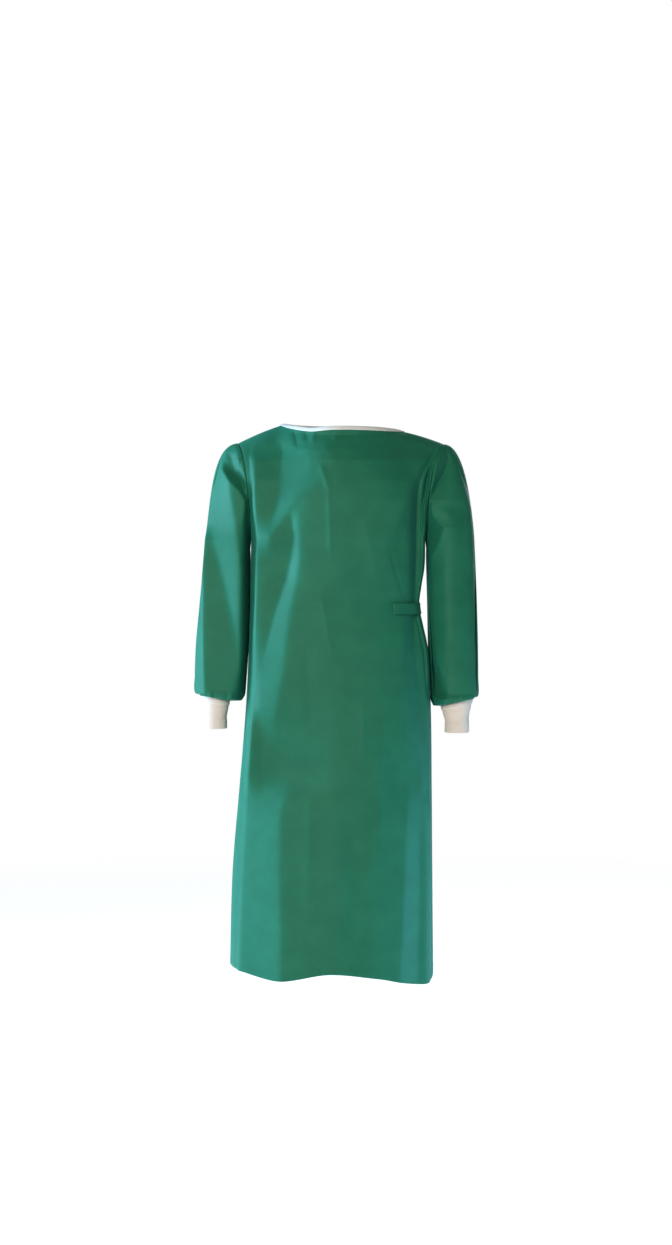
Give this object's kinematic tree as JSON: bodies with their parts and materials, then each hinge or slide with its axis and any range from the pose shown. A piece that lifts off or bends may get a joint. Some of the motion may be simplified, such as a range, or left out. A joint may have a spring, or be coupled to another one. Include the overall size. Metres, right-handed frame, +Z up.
{
  "type": "surgical gown",
  "caption": "Knee-length back-closing surgical gown in the hollow form it has when worn, with long sleeves, knitted cuffs, bound neck and a waist tie knotted at the side of the back.",
  "frame": {"origin": "middle of the neck opening, level with where the gown rests on the wearer's shoulders", "axes": "+Z up, -Y towards the front of the gown, +X towards the wearer's left"},
  "size_m": [0.5655, 0.3204, 1.1041],
  "materials": {
    "cloth": "green spunbond nonwoven, soft low sheen, faint mottle",
    "knit": "white rib knit, matt",
    "binding": "pale blue-white bias tape with fine crosswise ribs",
    "closure": "white hook-and-loop tape, matt"
  },
  "bodies": {
    "root": {"front": "cloth", "back_right": "cloth", "back_left": "cloth", "sleeve_right": "cloth", "sleeve_left": "cloth", "tie_front": "cloth", "tie_back": "cloth", "tie_knot": "cloth", "tie_end_long": "cloth", "tie_end_short": "cloth", "cuff_right": "knit", "cuff_left": "knit", "neck_binding": "binding", "neck_closure": "closure"}
  },
  "joints": []
}
